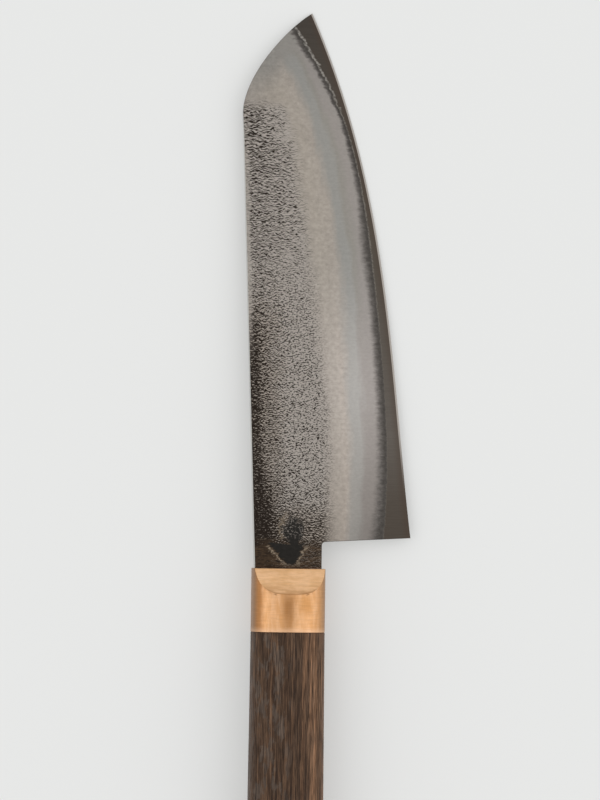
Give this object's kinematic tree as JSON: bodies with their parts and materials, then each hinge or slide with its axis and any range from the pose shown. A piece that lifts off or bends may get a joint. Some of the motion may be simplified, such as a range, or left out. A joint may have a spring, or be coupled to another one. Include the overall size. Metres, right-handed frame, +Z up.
{
  "type": "kitchen knife",
  "caption": "Forged kitchen knife with a tall curved blade, an angular clip point, a copper ferrule and a rounded oak handle, lying on its side.",
  "frame": {"origin": "on the table under the middle of the knife's bounding box", "axes": "+Y along the handle towards the tip, +X towards the cutting edge, +Z up, out of the side of the blade that shows"},
  "size_m": [0.0536, 0.304, 0.0237],
  "materials": {
    "core_steel": "dark satin, fine scratches square to the edge",
    "cladding_steel": "rough pitted forge skin near the spine, satin ground bevel",
    "copper": "satin brushed copper",
    "oak": "dark fumed oak, oiled, straight open grain",
    "resin": "amber, matte"
  },
  "bodies": {
    "root": {"core_steel": "core_steel", "right_cladding": "cladding_steel", "left_cladding": "cladding_steel", "ferrule": "copper", "handle": "oak", "tang_bedding": "resin"}
  },
  "joints": []
}
